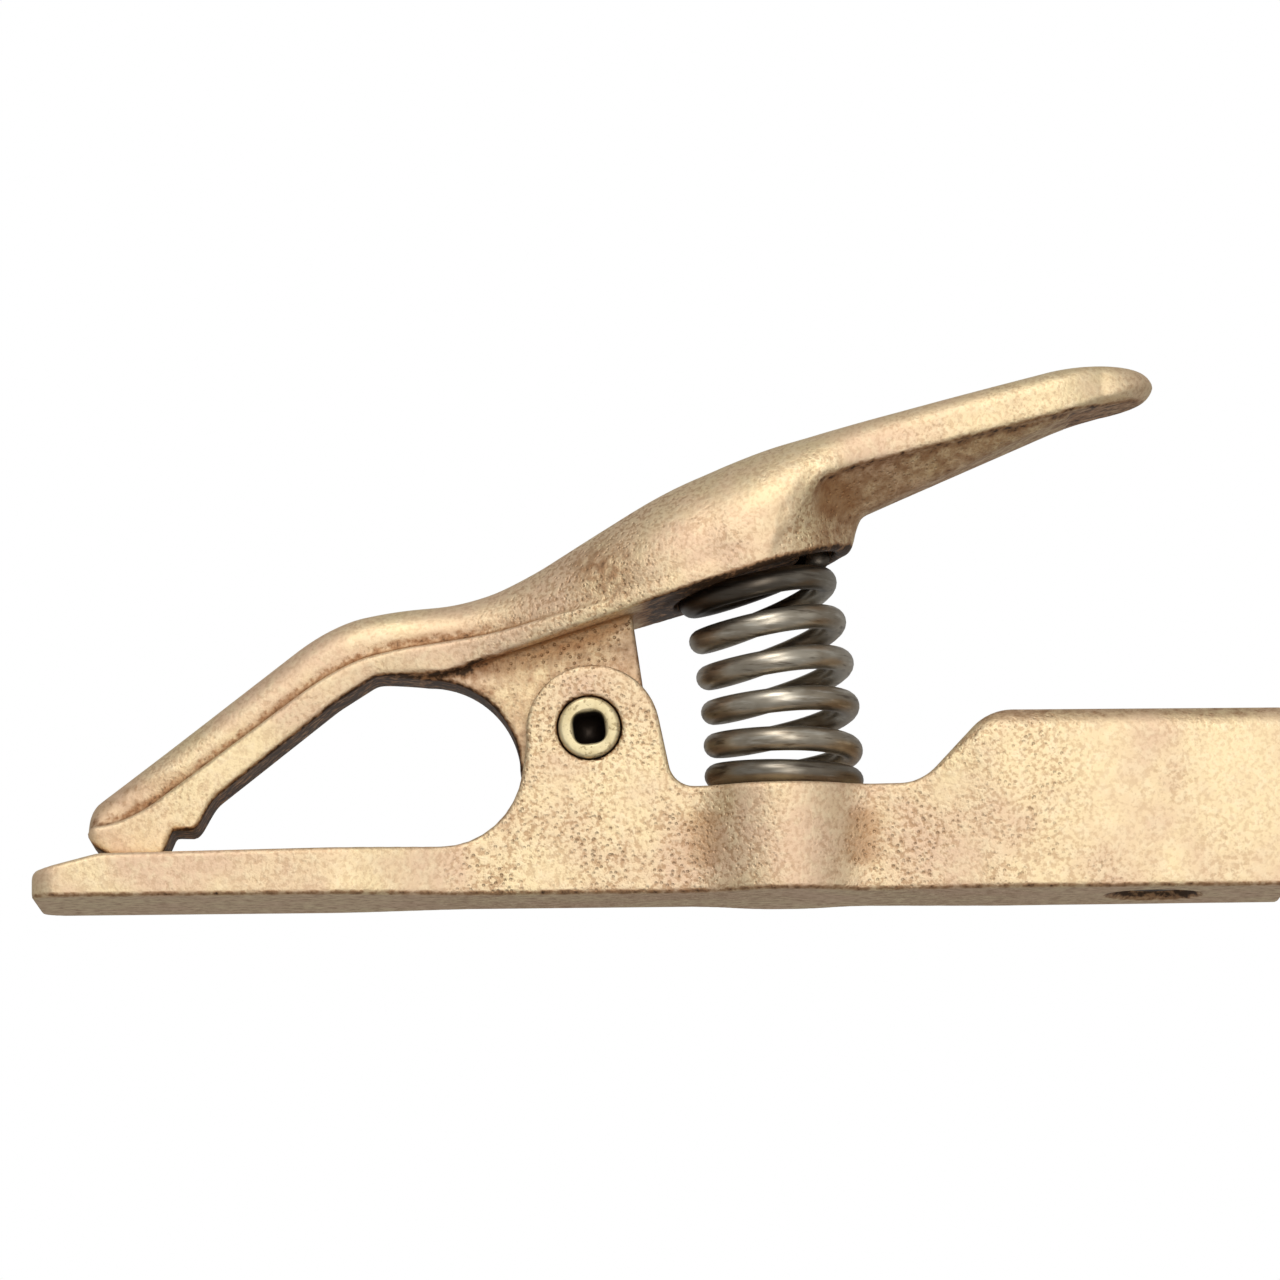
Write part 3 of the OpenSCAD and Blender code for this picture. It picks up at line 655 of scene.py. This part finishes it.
def upper_grain_and_shade(x, y, z):
    """Painted shade where the lamps reach badly: under the cap, on the lug, under the arm and the
    throat, along the edge below the handle's band and in the crease over the arm's ledge. The
    dome's foot towards the arm gets a brown painted shade too. Sand grain stays on the dome's
    foot, at the handle's root and under the handle, and its darker grain there is partly painted
    shade."""
    x, z = x - PIVOT[0], z - PIVOT[1]
    out, along_cap = in_cap(x, y, z)
    low = np.interp(x, stations, lines["under"]) - z
    lug_face = ramp(-along_cap, 0.2, 1.2) * ramp(LUG_HALF + 1.2 - np.abs(y), 0, 0.8)
    from_throat = np.hypot(x - throat_mid[0], z - throat_mid[1]) - THROAT_R
    under_throat = ramp(-from_throat, -0.7, -0.1) * ramp(x, -34, -24) * ramp(-z, -12, -8)
    strip = ramp(low, -0.7, -0.1) * (1 - 0.6 * ramp(low, 0.3, 1.3) * ramp(x, -36, -30))
    band_edge = ramp(low, -0.6, -0.1) * (1 - 0.5 * ramp(low, 0.2, 0.8))
    above_ledge = z - np.interp(x, stations, lines["shoulder"])
    crease = ramp(above_ledge, -0.3, 0.2) * (1 - ramp(above_ledge, 0.6, 3.0))
    # Painted shade on the dome's foot, where it turns away from the lamps.
    dome_foot_shade = np.exp(-((x - 2.5) / 6) ** 2 - ((z - 25) / 6) ** 2)
    # Each place below is painted shade: under the cap, the lug, under the arm, the throat, the
    # band's edge, the dome's foot and the crease.
    places = [
        (1 - ramp(along_cap, 0.2, 1.1 + 2 * (out < RECESS_R + 0.5))) * ramp(x, 6, 11),
        0.22 * lug_face * (x < 10),
        0.9 * strip * ramp(-x, 8, 20),
        under_throat,
        0.58 * band_edge * ramp(x, CREST + 5, CREST + 12),
        0.36 * dome_foot_shade * ramp(np.abs(y), 3, 8),
        0.44 * crease * ramp(-x, 6, 16) * ramp(np.abs(y), 3, 4.5),
    ]
    # More grain on the dome's foot, the handle's root and under the handle darkens them, partly as
    # painted shade.
    sand_and_shade = 0.25 + 0.6 * np.exp(-((x - 2) / 9) ** 2) + 0.2 * ramp(x, -30, -8) * (x < 34)
    root = np.exp(-((x - CREST - 12) / 8) ** 2) * ramp(np.abs(y), 6, 10)
    sand_and_shade = np.maximum(sand_and_shade, np.maximum(0.7 * root, ramp(low, -0.4, 0.6) * (x > CREST)))
    return {"sand_and_shade": np.minimum(sand_and_shade, 1), "painted_shade": np.max(places, axis=0)}


upper_jaw = casting(
    "upper_casting", upper_depth, (NOSE + PIVOT[0] - 1, -CASTING_SIDE, 6),
    (81.2, CASTING_SIDE, 86.4), 0.52, upper_grain_and_shade)

# %% [markdown]
# ## Turned and wound pieces
#
# The rivet, the screw and the spring are true sheets over two parameters. A turned piece is a
# profile of radius and height, carried round its axis; letting the radius depend a little on
# the angle gives the hollow rivet its slightly square mouth and the screw its hexagon. The
# sheet closes at both ends because the profile starts and ends on the axis.

# %% Turned pieces
TURNED_SIDES = 96


def sheet_quads(rings, sides):
    """Quads between neighbouring rings of sides points each; every ring closes on itself."""
    i, j = np.meshgrid(np.arange(rings - 1), np.arange(sides), indexing="ij")
    b = (j + 1) % sides
    quads = np.stack([i * sides + j, (i + 1) * sides + j, (i + 1) * sides + b, i * sides + b], -1)
    return quads.reshape(-1, 4)


def turned(profile, sides, shape):
    """Points and quads of a profile [(radius, height)] carried round Z. shape(i, angle) gives a
    factor on the radius of the profile's point i. The first and last radius are zero, so the
    points of those two rings lie on each other until merge_close welds them."""
    profile = np.array(profile, float)
    a = 2 * np.pi * np.arange(sides) / sides
    rows = np.arange(len(profile))
    r = profile[:, :1] * shape(rows[:, None], a[None, :])
    points = np.stack([r * np.cos(a), r * np.sin(a), profile[:, 1:] + 0 * r], -1).reshape(-1, 3)
    return points, sheet_quads(len(profile), sides)[:, [0, 3, 2, 1]]


def merge_close(piece):
    """Welds the points that lie on each other, such as a turned piece's two poles."""
    work = bmesh.new()
    work.from_mesh(piece.data)
    bmesh.ops.remove_doubles(work, verts=work.verts, dist=1e-7)
    bmesh.ops.recalc_face_normals(work, faces=work.faces)
    work.to_mesh(piece.data)
    work.free()
    return piece


def arc_profile(centre, radius, start, end, steps):
    """A rounded stretch of a profile, as (radius, height) points; the angles are in degrees."""
    return [corner[:2] for corner in arc(centre, radius, start, end, steps)]


# %% [markdown]
# ## The pivot rivet
#
# A semi-tubular rivet has a domed head on one side and a hollow end on the other, which is
# rolled outwards into a ring when it is set. The rolled ring fills the counterbore of the near
# ear almost flush, with a hairline gap round it whose dark line is painted shade on the casting.

# %% Rivet
HALF = NECK_HALF
HEAD_R, HEAD_HIGH = 6.5, 2.6
dome_r = (HEAD_R ** 2 + HEAD_HIGH ** 2) / (2 * HEAD_HIGH)
dome_a = np.arcsin(HEAD_R / dome_r)
dome = [(dome_r * np.sin(t), -HALF - HEAD_HIGH + dome_r * (1 - np.cos(t)))
        for t in dome_a * np.linspace(0, 1, 14)]
rivet_profile = [
    *dome,
    (6.2, -HALF), (4.0, -HALF), (4.0, HALF - 1.4), (4.8, HALF - 1.4),
    *arc_profile((4.25, HALF - 0.75), 0.7, -45, 90, 8),
    *arc_profile((3.2, HALF - 0.85), 0.8, 90, 175, 8),
    (2.35, HALF - 1.6), (2.3, HALF - 5.5), (1.2, HALF - 7.2), (0, HALF - 7.6),
]
mouth_from = len(dome) + 4 + 9
SQUARENESS = 3.4


def mouth_shape(row, angle):
    """1 for the outside of the rivet; inside the mouth a circle drawn towards a square."""
    c, s = np.abs(np.cos(angle - 0.12)), np.abs(np.sin(angle - 0.12))
    square = 1.05 / (c ** SQUARENESS + s ** SQUARENESS) ** (1 / SQUARENESS)
    amount = np.clip((row - mouth_from) / 7, 0, 1) * (row > mouth_from)
    return 1 + amount * (square - 1)


points, quads = turned(rivet_profile, TURNED_SIDES, mouth_shape)
rivet_points = np.stack([PIVOT[0] + points[:, 0], -points[:, 2], PIVOT[1] + points[:, 1]], 1)
rows = np.repeat(np.arange(len(rivet_profile)), TURNED_SIDES)
# Painted shade: the rivet's mouth darkens towards its bottom.
mouth_shade = ramp(rows, mouth_from + 6, mouth_from + 9)
rivet = merge_close(piece_from("rivet", rivet_points, quads, {"painted_shade": mouth_shade}))

# %% [markdown]
# ## The cable set screw
#
# A stub of hardened steel with a hexagon socket, screwed up into the tail from below until it
# bites the cable. It is turned with a chamfer at each end and a few thread ridges, and its
# socket is a hexagon: at every angle the radius is the flat's distance over a cosine.

# %% Set screw
SCREW_R, SCREW_LOW, SCREW_LONG = 6.0, 1.2, 5.4
thread = [(SCREW_R - (0.45 if k % 2 else 0.0), SCREW_LOW + 0.9 + 0.36 * k) for k in range(11)]
screw_profile = [
    (0, SCREW_LOW + 3.5), (3.0, SCREW_LOW + 3.0), (3.0, SCREW_LOW + 0.35),
    (3.35, SCREW_LOW), (SCREW_R - 1.0, SCREW_LOW), (SCREW_R - 0.25, SCREW_LOW + 0.6),
    *thread,
    (SCREW_R - 0.25, SCREW_LOW + SCREW_LONG - 0.6), (SCREW_R - 1.0, SCREW_LOW + SCREW_LONG),
    (2.5, SCREW_LOW + SCREW_LONG), (0, SCREW_LOW + SCREW_LONG - 0.9),
]


def socket_shape(row, angle):
    """A regular hexagon for the socket's rings and 1 for the rest of the screw."""
    hexagon = 1 / np.cos((angle + np.pi / 6) % (np.pi / 3) - np.pi / 6)
    return np.where((row >= 1) & (row <= 2), hexagon, 1.0)


points, quads = turned(screw_profile, TURNED_SIDES, socket_shape)
screw = merge_close(piece_from("set_screw", points + [SCREW_X, 0, 0], quads))

# %% [markdown]
# ## The spring
#
# The spring is drawn wire, wound left-handed, with its end turns laid flat. At rest it already
# leans, because the cap above it slopes: its coils fan out from the level seat to the sloping
# rim. So the wire's middle line is a climbing circle whose centre moves and whose plane tips
# on the way up, and the wire is a circle carried along that line.

# %% Spring
COIL_R, WIRE_R, TURNS, LEVEL, BOW = 10.8, 2.0, 6.0, 0.7, 1.2
WIRE_SIDES = 20
WIRE_FLAT = WIRE_R * np.cos(np.radians(30))
coil_foot = np.array([BOSS_X, SEAT_TOP + WIRE_FLAT + 0.05])
coil_head = PIVOT + rim_mid + (RECESS_DEEP - WIRE_FLAT - 0.3) * OUT_OF_RIM


def climb(n):
    """Share of the climb after n turns: level at both ends, with an even pitch between."""
    start, middle = n * n / (2 * LEVEL), n - LEVEL / 2
    last = TURNS - LEVEL - (TURNS - n) ** 2 / (2 * LEVEL)
    return np.where(n < LEVEL, start, np.where(n < TURNS - LEVEL, middle, last)) / (TURNS - LEVEL)


def coil_line(n):
    """Middle line of the wire after n turns."""
    s = climb(n)
    mid = coil_foot + (coil_head - coil_foot) * s[:, None]
    mid[:, 0] += 4 * BOW * s * (1 - s)
    tip = TILT * (1 - (1 - s) ** 2)
    a = -2 * np.pi * n
    return np.stack([mid[:, 0] + COIL_R * np.cos(a) * np.cos(tip), COIL_R * np.sin(a),
                     mid[:, 1] + COIL_R * np.cos(a) * np.sin(tip)], 1), tip


def tube(n, sides):
    """A circle carried along the coil, square to it, drawn in and rounded at both ends."""
    centre, tip = coil_line(n)
    ahead, _ = coil_line(np.minimum(n + 1e-3, TURNS))
    behind, _ = coil_line(np.maximum(n - 1e-3, 0))
    along = ahead - behind
    along /= np.linalg.norm(along, axis=1)[:, None]
    up_axis = np.stack([-np.sin(tip), 0 * tip, np.cos(tip)], 1)
    out = np.cross(along, up_axis)
    out /= np.linalg.norm(out, axis=1)[:, None]
    lift = np.cross(out, along)
    a = 2 * np.pi * np.arange(sides) / sides
    radius = np.full(len(n), WIRE_R * 0.985)
    radius[[0, -1]], radius[[1, -2]] = 0.0, WIRE_R * 0.82
    ring = np.cos(a)[None, :, None] * out[:, None, :] + np.sin(a)[None, :, None] * lift[:, None, :]
    points = (centre[:, None, :] + radius[:, None, None] * ring).reshape(-1, 3)
    return points, sheet_quads(len(n), sides)


turns = np.linspace(0, TURNS, 361)
turns = np.concatenate([[0, 0.0005, 0.006], turns[1:-1], [TURNS - 0.006, TURNS - 0.0005, TURNS]])
points, quads = tube(turns, WIRE_SIDES)
# Painted shade on both end turns, where they sit in the cap and on the seat.
end_turn_shade = np.maximum(ramp(turns, TURNS - 1.15, TURNS - 0.7), 0.6 * ramp(-turns, -0.6, -0.3))
spring = merge_close(piece_from("spring", points, quads, {"painted_shade": np.repeat(end_turn_shade, WIRE_SIDES)}))

# %% Which pieces stand for which solids
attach(lower_jaw, "clamp_base")
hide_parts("lower_jaw")
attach(upper_jaw, "jaw_lever")
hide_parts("upper_jaw")
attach(rivet, "clamp_base")
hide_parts("pivot_rivet")
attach(screw, "clamp_base")
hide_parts("cable_set_screw")
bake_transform(spring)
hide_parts("compression_spring")

# %% [markdown]
# ## Blasted brass
#
# Fresh from the sand the metal is rough, and shot blasting then leaves a fine bright grain with
# pits where sand grains sat. Noise at several scales makes that up: cloudy patches of warmer and
# paler brass, grains a little under a millimetre wide, and scattered dark pits, all stronger
# where the casting is sandy; in some sandy places that darker grain is partly painted shade, and
# on the boss less of it is partly a painted highlight. Cupped places get a brown painted shade and
# hollow places a darker one, and the painted shade under and between parts goes from brown to
# nearly black. The grain is both colour and bump, because in a pit the light fails and the oxide
# stays.

# %% Node helpers


class Nodes:
    """A small hand for building a material or a world: adds nodes and links their sockets."""

    def __init__(self, name, kind="Material"):
        library = bpy.data.worlds if kind == "World" else bpy.data.materials
        self.owner = library.new(name)
        self.owner.use_nodes = True
        self.tree = self.owner.node_tree
        self.tree.nodes.clear()
        self.out = self.tree.nodes.new("ShaderNodeOutput" + kind)

    def add(self, kind, inputs=None, **settings):
        """A node with its settings; each input is a value, or a socket to link to."""
        node = self.tree.nodes.new(kind)
        for key, value in settings.items():
            setattr(node, key, value)
        for key, value in (inputs or {}).items():
            if isinstance(value, bpy.types.NodeSocket):
                self.tree.links.new(value, node.inputs[key])
            else:
                node.inputs[key].default_value = value
        return node

    def math(self, operation, a, b=0.0, clamp=False):
        return self.add("ShaderNodeMath", {0: a, 1: b}, operation=operation,
                        use_clamp=clamp).outputs[0]

    def map(self, value, low, high, to_low=0.0, to_high=1.0, kind="SMOOTHSTEP"):
        return self.add("ShaderNodeMapRange", {
            "Value": value, "From Min": low, "From Max": high, "To Min": to_low,
            "To Max": to_high}, interpolation_type=kind).outputs["Result"]

    def mix(self, share, a, b):
        """Colour a with a share of colour b; 6 and 7 are the mix node's colour inputs."""
        return self.add("ShaderNodeMix", {0: share, 6: a, 7: b}, data_type="RGBA").outputs[2]

    def noise(self, where, scale, detail=2.0, rough=0.5, stretch=None):
        if stretch is not None:
            where = self.add("ShaderNodeMapping", {"Vector": where, "Scale": stretch}).outputs[0]
        return self.add("ShaderNodeTexNoise", {
            "Vector": where, "Scale": scale, "Detail": detail, "Roughness": rough}).outputs[0]

    def place(self):
        return self.add("ShaderNodeTexCoord").outputs["Object"]

    def measure(self, name):
        """One of the measures that the mesh carries at its points."""
        return self.add("ShaderNodeAttribute", attribute_name=name).outputs["Fac"]

    def metal(self, colour, metallic, rough, height, strength, distance=0.0002):
        """Closes the material as a metal with a bump; distance is the bump's size in metres."""
        bump = self.add("ShaderNodeBump", {
            "Strength": strength, "Distance": distance, "Height": height})
        return self.finish(self.add("ShaderNodeBsdfPrincipled", {
            "Base Color": colour, "Metallic": metallic, "Roughness": rough,
            "Normal": bump.outputs[0]}).outputs[0])

    def finish(self, shader):
        self.tree.links.new(shader, self.out.inputs["Surface"])
        return self.owner


def linear(r, g, b):
    """A colour given as it looks on screen, 0 to 255, as the linear light that Blender mixes."""
    c = np.array([r, g, b]) / 255
    c = np.where(c <= 0.04045, c / 12.92, ((c + 0.055) / 1.055) ** 2.4)
    return (*[float(v) for v in c], 1.0)


# %% Cast brass material


def cast_brass():
    n = Nodes("blasted_brass")
    where = n.place()
    hollow, cupped, sand_and_shade, painted_shade = map(n.measure, ("hollow", "cupped", "sand_and_shade", "painted_shade"))

    cloud = n.noise(where, 60, 3, 0.6)
    grain = n.noise(where, 1350, 2, 0.6)
    coarse = n.noise(where, 560, 2, 0.55)
    speck = n.add("ShaderNodeTexVoronoi", {"Vector": where, "Scale": 1050.0}).outputs["Distance"]
    patch = n.noise(where, 75, 2, 0.5)

    patchy = n.map(n.math("ADD", patch, n.math("MULTIPLY", sand_and_shade, 0.3)), 0.5, 0.85)
    sand = n.math("MULTIPLY", patchy, n.math("ADD", 0.25, n.math("MULTIPLY", sand_and_shade, 0.75)))
    sand = n.math("ADD", sand, n.map(cupped, 0.02, 0.16, 0, 0.5), clamp=True)
    colour = n.mix(n.map(cloud, 0.35, 0.68), linear(243, 221, 178), linear(238, 208, 176))
    colour = n.mix(n.map(coarse, 0.45, 0.68, 0, 0.5), colour, linear(248, 228, 192))
    grains = n.math("ADD", 0.24, n.math("MULTIPLY", sand, 0.46))
    grains = n.math("MULTIPLY", n.map(grain, 0.56, 0.36), grains)
    colour = n.mix(grains, colour, linear(182, 140, 100))
    pits = n.math("MULTIPLY", n.map(speck, 0.34, 0.1), sand)
    colour = n.mix(n.math("MULTIPLY", pits, 0.4), colour, linear(140, 102, 68))
    uneven = n.math("MULTIPLY", n.math("SUBTRACT", grain, 0.5), 0.7)
    # Painted shade: cupped places, which face away from the lamps, are mixed towards brown (184,
    # 140, 96).
    cup_shade = n.map(n.math("ADD", cupped, n.math("MULTIPLY", uneven, 0.12)), 0.0, 0.17, 0, 0.8)
    colour = n.mix(cup_shade, colour, linear(184, 140, 96))
    # Painted shade in corners and crevices, mixed towards (112, 80, 52).
    crevice_shade_share = n.map(n.math("ADD", hollow, uneven), 0.1, 0.5, 0, 0.75)
    colour = n.mix(crevice_shade_share, colour, linear(112, 80, 52))
    # Painted shade under, behind and between parts, broken up by noise, from brown (164, 116, 76)
    # to nearly black (62, 45, 32).
    broken = n.math("MULTIPLY", n.math("ADD", uneven, n.math("SUBTRACT", coarse, 0.5)), 1.5)
    spread = n.math("MULTIPLY", painted_shade, 3.0, clamp=True)
    uneven_shade = n.math("ADD", painted_shade, n.math("MULTIPLY", broken, spread))
    colour = n.mix(n.map(uneven_shade, 0.05, 0.6, 0, 0.8), colour, linear(164, 116, 76))
    colour = n.mix(n.map(uneven_shade, 0.5, 1.0, 0, 0.92), colour, linear(62, 45, 32))

    height = n.math("ADD", n.math("MULTIPLY", grain, 0.6), n.math("MULTIPLY", coarse, 0.5))
    height = n.math("SUBTRACT", height, n.math("MULTIPLY", pits, 0.5))
    depth_of_grain = n.math("ADD", 0.25, n.math("MULTIPLY", sand, 0.4))
    rough = n.map(cloud, 0.3, 0.7, 0.54, 0.62)
    return n.metal(colour, 0.85, rough, height, depth_of_grain, 0.0004)


brass = cast_brass()
lower_jaw.data.materials.append(brass)
upper_jaw.data.materials.append(brass)

# %% [markdown]
# ## Rivet brass and steel wire
#
# The rivet is drawn brass, greener and smoother than the casting, and its hollow end goes dark
# towards the bottom as painted shade. Spring wire comes from the die with pale and dark streaks
# and a thin brown oil film, and both end turns are painted darker as shade where they sit in the
# cap and on the seat. The screw is blackened steel.

# %% Rivet, wire and screw materials


def rivet_brass():
    n = Nodes("rolled_brass")
    where = n.place()
    cloud = n.noise(where, 420, 3, 0.6)
    fine = n.noise(where, 1500, 2, 0.5)
    colour = n.mix(n.map(cloud, 0.35, 0.65), linear(226, 210, 168), linear(212, 194, 150))
    colour = n.mix(n.map(fine, 0.42, 0.3, 0, 0.6), colour, linear(140, 116, 78))
    # Painted shade deep in the rivet's mouth, mixed towards (60, 50, 42).
    colour = n.mix(n.measure("painted_shade"), colour, linear(60, 50, 42))
    return n.metal(colour, 0.8, 0.5, fine, 0.25)


def spring_wire():
    n = Nodes("oiled_wire")
    where = n.place()
    cloud = n.noise(where, 120, 3, 0.6)
    streak = n.noise(where, 320, 3, 0.6, stretch=(0.5, 0.5, 4.0))
    colour = n.mix(n.map(cloud, 0.35, 0.65), linear(190, 181, 164), linear(162, 150, 132))
    colour = n.mix(n.map(streak, 0.52, 0.7, 0, 0.6), colour, linear(226, 220, 206))
    colour = n.mix(n.map(streak, 0.46, 0.3, 0, 0.7), colour, linear(88, 74, 61))
    # Painted shade on the end turns, mixed towards (56, 47, 40).
    colour = n.mix(n.math("MULTIPLY", n.measure("painted_shade"), 0.85), colour, linear(56, 47, 40))
    return n.metal(colour, 0.95, 0.38, streak, 0.2)


def black_steel():
    n = Nodes("blackened_steel")
    where = n.place()
    cloud = n.noise(where, 300, 3, 0.6)
    colour = n.mix(n.map(cloud, 0.35, 0.65), linear(74, 70, 68), linear(104, 92, 82))
    return n.metal(colour, 0.8, 0.42, cloud, 0.2)


rivet.data.materials.append(rivet_brass())
spring.data.materials.append(spring_wire())
screw.data.materials.append(black_steel())

# %% [markdown]
# ## Floor, background and lights
#
# The clamp lies on a pale floor. This lens looks from just below floor level, so the floor is
# one-sided: seen from underneath it lets the light and the view through, and seen from above
# it is a plain white table with a soft shadow. The lights are large and soft, as in a product
# tent: a narrow one behind the lens, which lights all that faces it and lets round sides fall
# into shade, one above it for the dome and the beads, and a weak one from the cable end.

# %% Floor
FLOOR_HALF = 2.5
floor_mesh = bpy.data.meshes.new("floor")
signs = ((-1, -1), (1, -1), (1, 1), (-1, 1))
floor_corners = [(FLOOR_HALF * i, FLOOR_HALF * j, 0) for i, j in signs]
floor_mesh.from_pydata(floor_corners, [], [(0, 1, 2, 3)])
floor = bpy.data.objects.new("floor", floor_mesh)
floor.location.z = -0.0002
bpy.context.scene.collection.objects.link(floor)


def table_top():
    n = Nodes("table_top")
    back = n.add("ShaderNodeNewGeometry").outputs["Backfacing"]
    seen = n.add("ShaderNodeLightPath").outputs["Is Camera Ray"]
    through = n.math("MAXIMUM", back, n.math("SUBTRACT", 1.0, seen))
    matt = n.add("ShaderNodeBsdfDiffuse", {"Color": (0.86, 0.86, 0.85, 1)})
    clear = n.add("ShaderNodeBsdfTransparent")
    mixed = n.add("ShaderNodeMixShader", {0: through, 1: matt.outputs[0], 2: clear.outputs[0]})
    return n.finish(mixed.outputs[0])


floor_mesh.materials.append(table_top())

# %% World


def tent():
    """White to the lens, and a weak even light for everything else: a light ray meets 0.28 of
    it, and a mirrored one a little more."""
    n = Nodes("tent", "World")
    rays = n.add("ShaderNodeLightPath").outputs
    seen = n.math("MAXIMUM", rays["Is Camera Ray"], rays["Is Transmission Ray"])
    seen = n.math("MAXIMUM", seen, n.math("MULTIPLY", rays["Is Glossy Ray"], 0.1))
    strength = n.map(seen, 0.0, 1.0, 0.28, 1.0, kind="LINEAR")
    background = n.add("ShaderNodeBackground", {"Color": (1, 1, 1, 1), "Strength": strength})
    return n.finish(background.outputs[0])


bpy.context.scene.world = tent()

# %% Lamps


def soft_lamp(name, place_mm, aim_mm, wide, high, watts):
    """An area lamp at one point, facing another; its sides are in metres."""
    data = bpy.data.lights.new(name, "AREA")
    data.shape = "RECTANGLE"
    data.energy, data.size, data.size_y = watts, wide, high
    lamp = bpy.data.objects.new(name, data)
    away = Vector((np.array(place_mm) * MM).tolist())
    toward = Vector((np.array(aim_mm) * MM).tolist()) - away
    facing = toward.to_track_quat("-Z", "Y").to_matrix().to_4x4()
    lamp.matrix_world = Matrix.Translation(away) @ facing
    bpy.context.scene.collection.objects.link(lamp)


LAMP_AIM = (0, 0, 35)
soft_lamp("front", (200, -1400, 80), LAMP_AIM, 0.42, 1.0, 5.8)
soft_lamp("above", (-200, -1000, 1050), LAMP_AIM, 0.5, 0.5, 7.2)
soft_lamp("right", (900, -500, 300), LAMP_AIM, 0.4, 0.8, 0.4)
bpy.context.scene.view_settings.view_transform = "Standard"
print("lamps and world set")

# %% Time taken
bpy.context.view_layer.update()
print("made in", round(time.time() - started, 1), "s")
